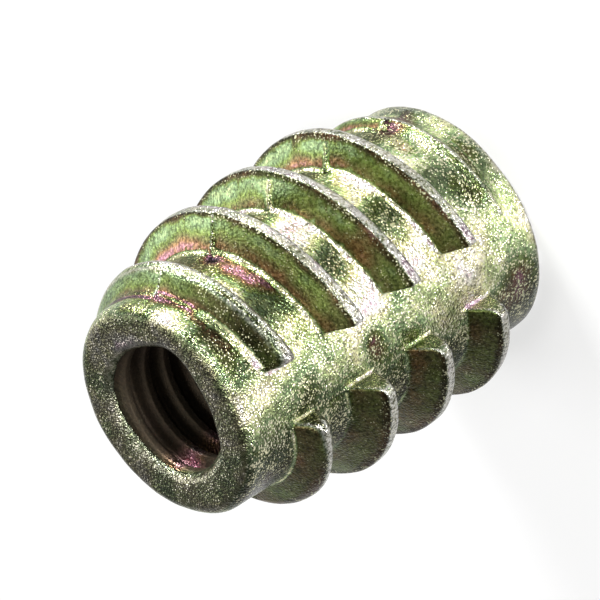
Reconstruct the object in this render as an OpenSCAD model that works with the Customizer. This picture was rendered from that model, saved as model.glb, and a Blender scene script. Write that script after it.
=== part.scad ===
// Screw-in threaded insert, cast in one piece in a two-part die.
// It stands on its drive end. The narrower lead end, which enters the wood, is up.
// The die parts along the plane y = 0, and one half of it draws away toward -Y.

/* [Body] */
// Overall length
body_len = 15; // [12:0.5:20]
// Diameter of the body at its lead end, before the edge is rounded
lead_d = 8.4; // [7.8:0.1:9]
// Diameter of the body at its drive end
drive_d = 9.4; // [9.2:0.1:10]
// Rounding of the outer edge at the lead end
lead_edge_r = 0.45; // [0.2:0.05:0.5]
// Rounding of the outer edge at the drive end
drive_edge_r = 0.12; // [0.06:0.02:0.3]

/* [Bore] */
// Diameter of the bore, which is the minor diameter of its fine thread
bore_d = 5; // [4.2:0.1:5.2]
// Diameter of the countersink in the lead face
sink_d = 5.5; // [5.3:0.1:6]
// Full angle of the countersink
sink_angle = 80; // [60:5:120]

/* [Drive socket] */
// Width of the hexagon across its flats
hex_af = 6; // [5.6:0.1:6.4]
// Depth of the hexagon
hex_depth = 4.5; // [3:0.25:5.5]
// Diameter of the round chamfer at the hexagon's mouth
hex_mouth_d = 7.3; // [6.8:0.1:7.8]

/* [Outer thread] */
// Diameter over the crests
crest_d = 11.6; // [11:0.1:12.4]
// Distance from one turn to the next
pitch = 3; // [2.6:0.1:3.4]
// Width of the flat land along a crest
crest_w = 0.45; // [0.25:0.05:0.65]
// Angle between a flank and the plane across the thread
flank_angle = 16; // [10:1:22]
// Fillet between a flank and the body
root_r = 0.22; // [0.1:0.02:0.3]
// Number of turns, counting the two that fade out
turns = 5; // [3:1:5]
// Distance from the lead face to the first turn, on the front of the body
first_turn = 2.62; // [2.3:0.02:3]

/* [Faded ends of the thread] */
// Distance from the lead face to the point where the thread rises out of the body
rise_at = 0.6; // [0.55:0.05:0.9]
// Length of the steep first part of the rise
rise_len = 1.4; // [1:0.1:2]
// Diameter that the first part of the rise reaches, which the first turn is made to
rise_d = 10.3; // [9.8:0.1:10.8]
// Length of the second part of the rise, which ends at the full diameter
blend_len = 2.8; // [2:0.1:4]
// Distance from the drive end to the point where the thread has faded out
fade_at = 0.9; // [0.8:0.1:1.6]
// Length over which the thread fades out
fade_len = 1.7; // [1.2:0.1:2]

/* [Plain bands] */
// Width of the plain band that crosses the thread, measured at the lead end's surface
band_w = 2.3; // [1.6:0.1:3]
// Turn of the bands from the die's draw direction
band_turn = 4; // [-12:1:12]
// Draft of the thread's end faces
band_draft = 8; // [4:1:12]
// Rounding of a turn's outer corner on the clockwise side of a band
near_corner_r = 0.5; // [0.2:0.05:0.6]
// Rounding of a turn's outer corner on the other side of the band
far_corner_r = 0.2; // [0.1:0.05:0.4]

/* [Hidden] */
$fn = 96;

lead_r = lead_d / 2;
drive_r = drive_d / 2;
bore_r = bore_d / 2;
sink_r = sink_d / 2;
crest_r = crest_d / 2;
hex_corner_r = hex_af / 2 / cos(30);
hex_mouth_r = hex_mouth_d / 2;

// Cuts run past the surfaces that they open by this much
past = 0.5;
// The thread is sunk into the body by this much
sunk = 0.2;
// Rings run on past their crests until this much of the land is left, then are trimmed
land_left = 0.25;

// The rings of the back half lie between those of the front half
half_pitch = pitch / 2;

// Direction of the back band; round surfaces start there, clear of the thread's edges
band_at = 90 + band_turn;

// Short straight steps that stand for a rounded edge
arc_steps = 4;
// An arc stops this far short of the surface that it would touch, and runs straight on
arc_stop = 20;

// Radius of the body at a height above the drive end
function body_r(z) = drive_r + (lead_r - drive_r) * z / body_len;

// Points along an arc, from one direction to another
function arc(centre, r, from, to) = [
    for (i = [0 : arc_steps])
        let (a = from + (to - from) * i / arc_steps) centre + r * [cos(a), sin(a)]
];

// The same points on the other side of the first axis, in reverse
function mirrored(points) = [
    for (i = [len(points) - 1 : -1 : 0]) [points[i].x, -points[i].y]
];

// Radius to which a turn's section is drawn; the first turn is lower than the others
function turn_r(turn) = turn == 0 ? rise_d / 2 : crest_r;

// Each die half holds flat rings. They are tilted so that the crests of the two halves
// meet where the die parts, and climb by one pitch in a full turn
function ring_tilt(top) = atan(pitch / 4 / top);

// Half outline of the body from the axis out, with both outer edges rounded
module body_outline() {
    difference() {
        polygon([[0, 0], [drive_r, 0], [lead_r, body_len], [0, body_len]]);
        translate([lead_r, body_len]) edge_waste(lead_edge_r);
        translate([drive_r, 0]) mirror([0, 1]) edge_waste(drive_edge_r);
    }
}

// What a rounding takes off the corner at the origin
module edge_waste(r) {
    difference() {
        translate([-r, -r]) square(r + past);
        translate([-r, -r]) circle(r = r);
    }
}

module body() {
    rotate(band_at) rotate_extrude() body_outline();
}

// Upper half of a ring's section, from its crest in to a foot inside the body: a half
// land, a sloping flank and a fillet at the root. All turns are as wide at the root, so
// a lower one has gentler flanks
function ring_side(root, top) =
    let (
        half_land = crest_w / 2,
        slope = tan(flank_angle) * (crest_r - root) / (top - root),
        lean = atan(slope),
        centre_r = root + root_r,
        touch_r = centre_r - root_r * sin(lean),
        centre_z = half_land + (top - touch_r) * slope + root_r * cos(lean),
        fillet = arc([centre_r, centre_z], root_r, -90 - lean, -180 + arc_stop),
        last = fillet[arc_steps],
        foot = [root - sunk, last.y + (last.x - root + sunk) / tan(arc_stop)],
        ring_r = top + (1 - land_left) * half_land / slope
    )
    concat([[ring_r, land_left * half_land]], fillet, [foot]);

module ring_section(root, top) {
    side = ring_side(root, top);
    polygon(concat(mirrored(side), side));
}

// Half of a tilted ring, whose middle crosses the body's axis at height z; side is -1
// for the front half of the die and 1 for the back half
module half_ring(z, side, top) {
    translate([0, 0, z]) rotate([0, side * ring_tilt(top), 0])
        rotate_extrude(angle = 180, start = side < 0 ? 180 : 0)
            ring_section(body_r(z), top);
}

// Space that the thread may fill: it rises at the lead end and fades at the drive end
module thread_room() {
    rise_z = body_len - rise_at;
    knee_z = rise_z - rise_len;
    full_z = knee_z - blend_len;
    fade_z = fade_at + fade_len;
    rotate(band_at) rotate_extrude() polygon([
        [0, fade_at], [body_r(fade_at) - past / 10, fade_at], [crest_r, fade_z],
        [crest_r, full_z], [rise_d / 2, knee_z],
        [body_r(rise_z) - past / 10, rise_z], [0, rise_z]
    ]);
}

// One side of a band's outline: the drafted end face of a turn, then its rounded corner
function gap_side(corner_r) =
    let (
        along = [cos(band_draft), sin(band_draft)],
        across = [-sin(band_draft), cos(band_draft)],
        start = [0, band_w / 2 - lead_r * tan(band_draft)],
        offset = start * across + corner_r,
        reach = sqrt(pow(crest_r - corner_r, 2) - pow(offset, 2)),
        centre = reach * along + offset * across,
        to = atan2(centre.y, centre.x) - arc_stop,
        corner = arc(centre, corner_r, band_draft - 90, to),
        run = corner[arc_steps] + 3 * past * [-sin(to), cos(to)]
    )
    concat([start], corner, [run, [crest_r + past, run.y]]);

// The two bands, on opposite sides
module band_gaps() {
    for (turned = [0, 180]) {
        rotate(band_at + turned) linear_extrude(body_len)
            polygon(concat(mirrored(gap_side(near_corner_r)), gap_side(far_corner_r)));
    }
}

// What one die half makes of a turn, cut through by a band
module half_turn(z, side, top) {
    difference() {
        intersection() {
            half_ring(z, side, top);
            thread_room();
        }
        band_gaps();
    }
}

module outer_thread() {
    first_z = body_len - first_turn;
    for (turn = [0 : turns - 1]) {
        half_turn(first_z - turn * pitch, -1, turn_r(turn));
        half_turn(first_z - turn * pitch + half_pitch, 1, turn_r(turn));
    }
}

// Through bore, with a countersink in the lead face
module bore() {
    flare = tan(sink_angle / 2);
    translate([0, 0, -past]) cylinder(r = bore_r, h = body_len + 2 * past);
    translate([0, 0, body_len + past]) mirror([0, 0, 1]) cylinder(
        r1 = sink_r + past * flare, r2 = bore_r - past,
        h = past + (sink_r - bore_r + past) / flare
    );
}

// Hexagon in the drive end, with a round chamfer at its mouth
module drive_socket() {
    end_r = hex_af / 2 - past / 2;
    translate([0, 0, -past]) {
        cylinder(r = hex_corner_r, h = hex_depth + past, $fn = 6);
        cylinder(r1 = hex_mouth_r + past, r2 = end_r, h = hex_mouth_r + past - end_r);
    }
}

module insert() {
    color("darkkhaki") difference() {
        union() {
            body();
            outer_thread();
        }
        bore();
        drive_socket();
    }
}

insert();
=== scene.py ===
"""Dresses a die-cast threaded insert: its cast form, its plating and a small studio.

The insert is described as one field of distances, in millimetres, and a mesh is drawn
over the surface where the distance is zero. All objects are in metres.
"""

import logging
import math
from collections.abc import Callable, Sequence
from dataclasses import astuple, dataclass, field
from enum import Enum
from functools import cached_property

import bpy
import numpy as np
from mathutils import Matrix, Vector


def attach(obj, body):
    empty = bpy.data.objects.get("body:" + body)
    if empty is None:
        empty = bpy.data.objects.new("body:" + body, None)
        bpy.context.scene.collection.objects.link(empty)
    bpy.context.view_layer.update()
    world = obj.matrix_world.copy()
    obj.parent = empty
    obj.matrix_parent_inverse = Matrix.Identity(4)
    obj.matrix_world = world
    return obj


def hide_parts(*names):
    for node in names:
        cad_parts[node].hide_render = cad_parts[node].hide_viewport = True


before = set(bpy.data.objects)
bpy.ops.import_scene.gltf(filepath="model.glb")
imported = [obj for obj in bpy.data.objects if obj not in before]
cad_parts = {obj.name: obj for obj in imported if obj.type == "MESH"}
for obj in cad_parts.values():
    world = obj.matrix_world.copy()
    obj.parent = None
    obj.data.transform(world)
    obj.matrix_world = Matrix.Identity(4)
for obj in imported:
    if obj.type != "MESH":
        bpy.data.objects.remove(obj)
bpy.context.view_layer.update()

MM = 0.001
log = logging.getLogger("insert")

Field = Callable[[np.ndarray], np.ndarray]
Number = np.ndarray | float
Colour = tuple[float, float, float, float]

# The noise mixes the bits of each lattice point's place with these
AXIS_PRIMES = (73856093, 19349663, 83492791)
SEED_PRIME = 2654435761
MIX_PRIME = 1274126177
# Number of different values that a lattice point can have
LEVELS = 65536
# Keeps a point's place on the lattice above 0
LATTICE_SHIFT = 1000.0


def rounded_max(a: np.ndarray, b: np.ndarray, radius: Number) -> np.ndarray:
    """Cuts one form by another and rounds the edge between them.

    Args:
        a: Distances to the first form.
        b: Distances to the second form.
        radius: Radius of the edge.

    Returns:
        Distances to what both forms hold.
    """
    corner = np.hypot(np.maximum(a + radius, 0.0), np.maximum(b + radius, 0.0))
    return np.minimum(np.maximum(a, b), -radius) + corner


def rounded_min(a: np.ndarray, b: np.ndarray, radius: Number) -> np.ndarray:
    """Joins two forms and fills the corner between them with a fillet.

    Args:
        a: Distances to the first form.
        b: Distances to the second form.
        radius: Radius of the fillet.

    Returns:
        Distances to what either form holds.
    """
    return -rounded_max(-a, -b, radius)


def lattice_noise(points: np.ndarray, cell: float, seed: int) -> np.ndarray:
    """Smooth noise from random values on a lattice.

    Args:
        points: Points, one a row, in millimetres.
        cell: Size of a lattice cell.
        seed: Chooses the pattern.

    Returns:
        A value from -1 to 1 for each point.
    """
    scaled = points / cell + LATTICE_SHIFT
    base = np.floor(scaled).astype(np.int64)
    part = scaled - base
    part = part * part * (3.0 - 2.0 * part)
    total = np.zeros(len(points))
    for corner in range(8):
        step = np.array([corner & 1, corner >> 1 & 1, corner >> 2 & 1])
        along = (base + step) * np.array(AXIS_PRIMES)
        mixed = along[:, 0] ^ along[:, 1] ^ along[:, 2] ^ seed * SEED_PRIME
        mixed = (mixed ^ mixed >> 13) * MIX_PRIME & 0x7FFFFFFF
        value = 2.0 * ((mixed ^ mixed >> 16 & 0xFFFF) % LEVELS) / (LEVELS - 1) - 1.0
        weight = np.prod(np.where(step == 1, part, 1.0 - part), axis=1)
        total += weight * value
    return total


@dataclass(frozen=True)
class Waves:
    """Smooth random waves of one height and size."""

    height: float
    size: float
    seed: int

    def at(self, p: np.ndarray) -> np.ndarray:
        """Height of the waves at each point, above 0 or below it."""
        return self.height * lattice_noise(p, self.size, self.seed)


@dataclass(frozen=True)
class Rise:
    """A share that rises from 0 to 1 between two values; the second may be the lower one."""

    start: Number
    end: Number

    def straight(self, value: np.ndarray) -> np.ndarray:
        """Share at each value, rising along a straight line."""
        return np.clip((value - self.start) / (self.end - self.start), 0.0, 1.0)

    def smooth(self, value: np.ndarray) -> np.ndarray:
        """Share at each value, rising smoothly."""
        part = self.straight(value)
        return part * part * (3.0 - 2.0 * part)

    def moved(self, start: float, end: float, share: np.ndarray) -> "Rise":
        """The same rise with a share of a move added to its two ends."""
        return Rise(self.start + start * share, self.end + end * share)


@dataclass
class Barrel:
    """The tapered body, before anything is cut into it."""

    length: float = 15.0
    lead_r: float = 4.2
    drive_r: float = 4.7
    lead_edge_r: float = 0.45
    drive_edge_r: float = 0.12

    def radius(self, z: Number) -> Number:
        """Radius at a height above the drive end."""
        return self.drive_r + (self.lead_r - self.drive_r) * z / self.length

    def distance(self, p: np.ndarray) -> np.ndarray:
        """Measures the body.

        Args:
            p: Points, one a row.

        Returns:
            Distances from the points to it.
        """
        r, z = np.hypot(p[:, 0], p[:, 1]), p[:, 2]
        slope = (self.drive_r - self.lead_r) / self.length
        side = (r - self.radius(z)) / math.hypot(1.0, slope)
        form = rounded_max(side, z - self.length, self.lead_edge_r)
        return rounded_max(form, -z, self.drive_edge_r)


@dataclass
class OuterThread:
    """Tilted half rings of the two die halves, broken by two plain bands."""

    barrel: Barrel
    crest_r: float = 5.8
    first_crest_r: float = 5.15
    pitch: float = 3.0
    # Width of the flat land along a crest
    land: float = 0.45
    flank: float = math.radians(16.0)
    # The front rings slope more gently on the side toward the lead end
    front_flank: float = math.radians(24.0)
    turns: int = 5
    # Distance from the lead face to the first turn, on the front
    first_turn: float = 2.62
    # How the first turn's section stands: 0 leans with its ring, 1 is square to the axis
    first_upright: float = 0.75
    # No point counts as nearer the axis than this when a section is set upright
    least_r: float = 1.0
    # Direction of the back band
    band_at: float = math.radians(94.0)
    band_w: float = 2.3
    draft: float = math.radians(8.0)
    near_corner_r: float = 0.5
    far_corner_r: float = 0.2
    first_corner_r: float = 0.5
    edge_r: float = 0.09
    first_edge_r: float = 0.2
    # Outline of the crests: a height and the radius there, from the drive end up
    profile: tuple[tuple[float, float], ...] = (
        (0.9, 4.62), (2.6, 5.8), (10.2, 5.8), (13.0, 5.15), (14.4, 4.17),
    )
    profile_r: float = 0.3
    lowest: float = 0.4
    highest: float = 14.5
    end_r: float = 0.05
    # The thread's depth counts as at least this where it fades out
    least_rise: float = 0.3
    root_r: float = 0.14
    parting_r: float = 0.02

    def crest(self, z: np.ndarray) -> np.ndarray:
        """Radius that the crests reach at a height; it is less at both ends."""
        return np.interp(z, [c[0] for c in self.profile], [c[1] for c in self.profile])

    def room(self, r: np.ndarray, z: np.ndarray) -> np.ndarray:
        """Measures the space that the crests may fill.

        Args:
            r: Distance of each point from the axis.
            z: Height of each point.

        Returns:
            Distances to the space.
        """
        sides = [
            ((r - r0) * (z1 - z0) - (z - z0) * (r1 - r0)) / math.hypot(z1 - z0, r1 - r0)
            for (z0, r0), (z1, r1) in zip(self.profile, self.profile[1:])
        ]
        form = sides[0]
        for side in sides[1:]:
            form = rounded_max(form, side, self.profile_r)
        form = rounded_max(form, z - self.highest, self.end_r)
        return rounded_max(form, self.lowest - z, self.end_r)

    def half(self, p: np.ndarray, side: int) -> tuple[np.ndarray, np.ndarray]:
        """Measures the rings that one die half would make if they were whole.

        Args:
            p: Points, one a row.
            side: -1 for the front half of the die and 1 for the back half.

        Returns:
            Distances to the rings, and which points are nearest the first of them.
        """
        rise = self.pitch / 4
        r = np.hypot(p[:, 0], p[:, 1])
        top = self.barrel.length - self.first_turn + (self.pitch / 2 if side > 0 else 0.0)
        along = p[:, 2] + side * p[:, 0] * rise / self.crest_r
        turn = np.clip(np.round((top - along) / self.pitch), 0, self.turns - 1)
        first = turn == 0
        upright = np.where(first, self.first_upright, 0.0)
        reach = np.where(first, self.first_crest_r, self.crest_r)
        tilt = -side * np.arctan(rise / reach)
        z = p[:, 2] - (top - turn * self.pitch)
        x = p[:, 0] * (1.0 - upright + upright * reach / np.maximum(r, self.least_r))
        above = z * np.cos(tilt) - x * np.sin(tilt)
        across = p[:, 0] * np.cos(tilt) + z * np.sin(tilt) * (1.0 - upright)
        out = np.hypot(across, p[:, 1])
        foot = self.barrel.radius(p[:, 2])
        crest = np.maximum(self.crest(p[:, 2]), foot + self.least_rise)
        wide = ~first & (side < 0) & (above > 0)
        slope = np.tan(np.where(wide, self.front_flank, self.flank))
        slope = slope * (self.crest_r - foot) / (crest - foot)
        ring = np.abs(above) - self.land / 2 - (crest - out) * slope
        return ring / np.hypot(1.0, slope), first

    def walls(self, p: np.ndarray) -> tuple[np.ndarray, np.ndarray]:
        """Measures what lies outside the bands, where the thread may be.

        Args:
            p: Points, one a row.

        Returns:
            Distances to it, and how far each point is from a band's middle, below 0 on the
            near side.
        """
        along = p[:, 0] * math.cos(self.band_at) + p[:, 1] * math.sin(self.band_at)
        across = p[:, 1] * math.cos(self.band_at) - p[:, 0] * math.sin(self.band_at)
        across = np.where(along < 0, -across, across)
        edge = self.band_w / 2 + (np.abs(along) - self.barrel.lead_r) * math.tan(self.draft)
        return (edge - np.abs(across)) * math.cos(self.draft), across

    def distance(self, p: np.ndarray) -> np.ndarray:
        """Measures the thread.

        Args:
            p: Points, one a row.

        Returns:
            Distances from the points to it.
        """
        r = np.hypot(p[:, 0], p[:, 1])
        wall, across = self.walls(p)
        room = self.room(r, p[:, 2])
        corner = np.where(across < 0, self.near_corner_r, self.far_corner_r)
        halves = []
        for side in (-1, 1):
            ring, first = self.half(p, side)
            outline = rounded_max(room, wall, np.where(first, self.first_corner_r, corner))
            ring = rounded_max(ring, outline, np.where(first, self.first_edge_r, self.edge_r))
            halves.append(rounded_max(ring, -side * p[:, 1], self.parting_r))
        return np.minimum(*halves)


@dataclass(frozen=True)
class Swell:
    """A stretch of the countersink's rim that stands further out; angles are in degrees."""

    turn: float
    spread: float
    height: float

    def at(self, turned: np.ndarray) -> np.ndarray:
        """How much further out the rim is in each direction."""
        return self.height * np.exp(-(((turned - self.turn) / self.spread) ** 2))


@dataclass
class Bore:
    """The threaded bore with its countersink, and the hexagon in the drive end."""

    barrel: Barrel
    minor_r: float = 2.5
    major_r: float = 3.0
    pitch: float = 1.0
    groove_angle: float = math.radians(30.0)
    # Width of the groove at the minor diameter, as a share of the pitch
    groove_share: float = 0.75
    groove_r: float = 0.06
    crest_edge_r: float = 0.03
    thread_top: float = 14.75
    # How steeply the groove runs out at the top
    top_slope: float = 0.8
    top_r: float = 0.1
    sink_r: float = 2.7
    sink_half_angle: float = math.radians(38.0)
    # Direction from which those along the rim are measured, in degrees
    rim_from: float = -59.0
    swells: tuple[Swell, ...] = (
        Swell(32.0, 24.0, 0.4),
        Swell(148.0, 26.0, 0.14),
        Swell(-56.0, 12.0, 0.1),
    )
    # Where the fine thread starts, how far it cuts the rim, and how soon that fades
    start_turn: float = -114.0
    start_depth: float = 0.12
    start_fade: float = 14.0
    hex_r: float = 3.0
    hex_depth: float = 4.5
    hex_end_r: float = 0.1
    hex_turns: tuple[float, float, float] = (30.0, 90.0, 150.0)
    mouth_r: float = 3.65
    mouth_angle: float = math.radians(45.0)

    def thread(self, r: np.ndarray, p: np.ndarray, turned: np.ndarray) -> np.ndarray:
        """Measures the groove of the fine thread.

        Args:
            r: Distance of each point from the axis.
            p: Points, one a row.
            turned: Direction of each point, as a part of a full turn.

        Returns:
            Distances to the groove.
        """
        lift = np.abs((p[:, 2] / self.pitch - turned) % 1.0 - 0.5) * self.pitch
        half = self.groove_share / 2 * self.pitch - (r - self.minor_r) * math.tan(self.groove_angle)
        side = (lift - half) * math.cos(self.groove_angle)
        groove = rounded_max(side, r - self.major_r, self.groove_r)
        return rounded_max(groove, (p[:, 2] - self.thread_top) * self.top_slope, self.top_r)

    def rim(self, turned: np.ndarray) -> np.ndarray:
        """Measures the countersink's rim, which is uneven where the fine thread starts.

        Args:
            turned: Direction of each point, as a part of a full turn.

        Returns:
            The rim's radius at the lead face.
        """
        degrees = (turned * 360.0 - self.rim_from + 180.0) % 360.0 - 180.0
        past = (self.start_turn - degrees) % 360.0
        start = self.start_depth * np.exp(-past / self.start_fade)
        return self.sink_r + sum(swell.at(degrees) for swell in self.swells) + start

    def distance(self, p: np.ndarray) -> np.ndarray:
        """Measures the hollow.

        Args:
            p: Points, one a row.

        Returns:
            Distances from the points to it.
        """
        r, z = np.hypot(p[:, 0], p[:, 1]), p[:, 2]
        turned = np.arctan2(p[:, 1], p[:, 0]) / (2 * math.pi)
        form = rounded_min(r - self.minor_r, self.thread(r, p, turned), self.crest_edge_r)
        slope = math.tan(self.sink_half_angle)
        sink = (r - self.rim(turned) - (z - self.barrel.length) * slope) / math.hypot(1.0, slope)
        flats = [
            np.abs(p[:, 0] * math.cos(a) + p[:, 1] * math.sin(a)) - self.hex_r
            for a in np.radians(self.hex_turns)
        ]
        socket = rounded_max(np.maximum.reduce(flats), z - self.hex_depth, self.hex_end_r)
        mouth = (r - self.mouth_r + z * math.tan(self.mouth_angle)) * math.cos(self.mouth_angle)
        return np.minimum.reduce([form, sink, socket, mouth])


@dataclass(frozen=True)
class Flaw:
    """A small pit, or a lump where its depth is below 0, that the die left on the barrel."""

    azimuth: float
    height: float
    size: float
    depth: float

    def dent(self, p: np.ndarray, barrel: Barrel) -> np.ndarray:
        """Works out the flaw's depth.

        Args:
            p: Points, one a row.
            barrel: The body that the flaw is on.

        Returns:
            How much deeper the skin lies at each point.
        """
        turn, r = math.radians(self.azimuth), barrel.radius(self.height)
        centre = np.array([r * math.cos(turn), r * math.sin(turn), self.height])
        return self.depth * np.exp(-((p - centre) ** 2).sum(axis=1) / self.size**2)


@dataclass
class Casting:
    """The whole insert as one field of distances."""

    barrel: Barrel = field(default_factory=Barrel)
    flaws: tuple[Flaw, ...] = (
        Flaw(-3.0, 11.15, 0.28, 0.16),
        Flaw(-13.0, 11.3, 0.16, -0.07),
        Flaw(-88.0, 1.6, 0.22, -0.12),
        Flaw(-84.0, 2.9, 0.3, -0.10),
        Flaw(-76.0, 4.6, 0.2, -0.06),
    )
    mouth_edge_r: float = 0.12
    waves: tuple[Waves, ...] = (Waves(0.022, 1.3, 3), Waves(0.009, 0.45, 7))
    wavy_r: Rise = Rise(3.2, 3.8)

    def __post_init__(self) -> None:
        """Makes the forms that sit on the barrel."""
        self.thread = OuterThread(self.barrel)
        self.bore = Bore(self.barrel)

    def distance(self, p: np.ndarray) -> np.ndarray:
        """Distances from points to the metal as the die would shape it."""
        solid = rounded_min(self.barrel.distance(p), self.thread.distance(p), self.thread.root_r)
        return rounded_max(solid, -self.bore.distance(p), self.mouth_edge_r)

    def skin(self, p: np.ndarray) -> np.ndarray:
        """Measures the metal with its flaws and, outside the bore, its slight waves.

        Args:
            p: Points, one a row.

        Returns:
            Distances from the points to it.
        """
        waves = sum(wave.at(p) for wave in self.waves)
        outside = self.wavy_r.straight(np.hypot(p[:, 0], p[:, 1]))
        dents = sum(flaw.dent(p, self.barrel) for flaw in self.flaws)
        return self.distance(p) + waves * outside + dents


def slope_of(form: Field, p: np.ndarray, step: float) -> np.ndarray:
    """Gradient of a field by central differences.

    Args:
        form: The field.
        p: Points, one a row.
        step: Half of the distance between the two samples.

    Returns:
        One gradient a row.
    """
    out = np.empty_like(p)
    for axis in range(3):
        move = np.zeros(3)
        move[axis] = step
        out[:, axis] = (form(p + move) - form(p - move)) / (2 * step)
    return out


@dataclass
class SurfaceNet:
    """Draws a mesh over the zero of a field, on a grid with its own steps on each axis."""

    axes: tuple[np.ndarray, np.ndarray, np.ndarray]
    # The field is first read once in a block of so many points a side, then again at
    # every point of the blocks that lie within reach of the surface
    block: int = 4
    reach: float = 0.55
    batch: int = 400000
    corners: tuple[tuple[int, int, int], ...] = tuple(
        (i, j, k) for i in (0, 1) for j in (0, 1) for k in (0, 1)
    )

    def points(self, cells: Sequence[np.ndarray]) -> np.ndarray:
        """Places of grid points, which are given by their numbers on each axis."""
        return np.stack([axis[i] for axis, i in zip(self.axes, cells)], axis=-1)

    def sample(self, form: Field) -> np.ndarray:
        """Field values on the grid; far from the surface only their sign is right.

        Args:
            form: The field.

        Returns:
            A value for each grid point.
        """
        coarse = [axis[:: self.block] for axis in self.axes]
        starts = np.stack(np.meshgrid(*coarse, indexing="ij"), axis=-1).reshape(-1, 3)
        grid = form(starts).reshape([len(axis) for axis in coarse])
        for axis in range(3):
            grid = np.repeat(grid, self.block, axis)
        nx, ny, nz = (len(axis) for axis in self.axes)
        grid = grid[:nx, :ny, :nz].copy()
        spots = np.nonzero(np.abs(grid) < self.reach)
        for start in range(0, len(spots[0]), self.batch):
            part = tuple(spot[start : start + self.batch] for spot in spots)
            grid[part] = form(self.points(part))
        return grid

    def vertices(self, grid: np.ndarray, cells: Sequence[np.ndarray]) -> np.ndarray:
        """Places a vertex in each cell, amid the spots where its edges cross the surface.

        Args:
            grid: Field values on the grid.
            cells: Numbers of the cells on each axis.

        Returns:
            One vertex a row.
        """
        total = np.zeros((len(cells[0]), 3))
        hits = np.zeros(len(cells[0]))
        for corner in self.corners:
            for axis in range(3):
                if corner[axis]:
                    continue
                across = list(corner)
                across[axis] = 1
                low = tuple(c + o for c, o in zip(cells, corner))
                high = tuple(c + o for c, o in zip(cells, across))
                crossed = (grid[low] < 0) != (grid[high] < 0)
                change = np.where(crossed, grid[low] - grid[high], 1.0)
                part = np.where(crossed, grid[low] / change, 0.0)
                start, end = self.points(low), self.points(high)
                total += np.where(crossed[:, None], start + (end - start) * part[:, None], 0.0)
                hits += crossed
        return total / hits[:, None]

    def faces(self, inside: np.ndarray, number: np.ndarray) -> np.ndarray:
        """Draws a face across each edge of the grid that crosses the surface.

        Args:
            inside: Which grid points are inside the form.
            number: The vertex in each cell.

        Returns:
            Four vertices a row, in order round the face as seen from outside.
        """
        size = number.shape
        faces = []
        for axis in range(3):
            u, v = (axis + 1) % 3, (axis + 2) % 3
            low = [slice(1, n) for n in size]
            low[axis] = slice(0, size[axis])
            high = list(low)
            high[axis] = slice(1, size[axis] + 1)
            start, end = inside[tuple(low)], inside[tuple(high)]
            for flip, hit in ((False, start & ~end), (True, ~start & end)):
                at = list(np.nonzero(hit))
                at[u], at[v] = at[u] + 1, at[v] + 1
                ring = []
                for du, dv in ((1, 1), (0, 1), (0, 0), (1, 0)):
                    cell = list(at)
                    cell[u], cell[v] = at[u] - du, at[v] - dv
                    ring.append(number[tuple(cell)])
                quads = np.stack(ring, axis=-1)
                faces.append(quads[:, ::-1] if flip else quads)
        return np.concatenate(faces)

    def build(self, form: Field) -> tuple[np.ndarray, np.ndarray]:
        """Makes the net.

        Args:
            form: The field.

        Returns:
            Vertices and four-sided faces.
        """
        grid = self.sample(form)
        inside = grid < 0
        nx, ny, nz = (n - 1 for n in grid.shape)
        count = sum(
            inside[i : i + nx, j : j + ny, k : k + nz].astype(np.int8) for i, j, k in self.corners
        )
        cells = np.nonzero((count > 0) & (count < len(self.corners)))
        number = np.full((nx, ny, nz), -1, np.int32)
        number[cells] = np.arange(len(cells[0]))
        return self.vertices(grid, cells), self.faces(inside, number)


def steps(low: float, high: float, size: float) -> np.ndarray:
    """Evenly spaced grid lines from low to past high."""
    return low + size * np.arange(int(math.ceil((high - low) / size)) + 1)


class Film(Enum):
    """Colours of the chromate film, from bare metal up, as it grows thicker."""

    PEARL = (0.0, (0.66, 0.47, 0.56))
    BARE = (0.09, (0.62, 0.60, 0.52))
    STRAW = (0.18, (0.54, 0.51, 0.30))
    LIME = (0.29, (0.34, 0.40, 0.19))
    TEAL = (0.40, (0.17, 0.24, 0.12))
    GREEN = (0.50, (0.145, 0.19, 0.055))
    OLIVE = (0.60, (0.14, 0.13, 0.055))
    RUST = (0.70, (0.24, 0.14, 0.07))
    ROSE = (0.84, (0.46, 0.22, 0.30))
    VIOLET = (1.0, (0.18, 0.11, 0.16))

    @property
    def depth(self) -> float:
        """Thickness of the film, from 0 to 1."""
        return self.value[0]

    @property
    def colour(self) -> tuple[float, float, float]:
        """Colour that the metal has under the film."""
        return self.value[1]


@dataclass(frozen=True)
class Layer:
    """A layer of plating: its film's thickness, how light it is, its share of bright grains; the
    tone also carries painted highlights and shade, and the bright grains are painted glints.
    """

    film: Number
    tone: Number
    shine: Number

    def covered(self, share: np.ndarray, by: "Layer") -> "Layer":
        """Lays another layer over this one.

        Args:
            share: How much of each point the other layer covers, from 0 to 1.
            by: The other layer.

        Returns:
            The plating that shows then.
        """
        pairs = ((self.film, by.film), (self.tone, by.tone), (self.shine, by.shine))
        return Layer(*(under + (over - under) * share for under, over in pairs))


@dataclass(frozen=True)
class FilmAndLightPatch:
    """A place with a film, a tone and a shine of its own: a film colour, with a painted highlight
    where the tone is high and painted shade where it is low.
    """

    azimuth: float
    height: float
    around: float
    along: float
    film: Film
    tone: float
    shine: float
    strength: float = 0.9
    flank: bool = False

    @property
    def layer(self) -> Layer:
        """The plating at the patch's middle."""
        return Layer(self.film.depth, self.tone, self.shine)

    def share(self, p: np.ndarray) -> np.ndarray:
        """Works out where the patch lies.

        Args:
            p: Points, one a row.

        Returns:
            How much of it lies at each point, from 0 to 1.
        """
        turn = math.radians(self.azimuth)
        r = np.hypot(p[:, 0], p[:, 1])
        ahead = p[:, 0] * math.cos(turn) + p[:, 1] * math.sin(turn)
        aside = p[:, 1] * math.cos(turn) - p[:, 0] * math.sin(turn)
        sideways = np.arctan2(aside, ahead) * r / self.around
        upward = (p[:, 2] - self.height) / self.along
        return self.strength * np.exp(-(sideways**2 + upward**2))


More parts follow.
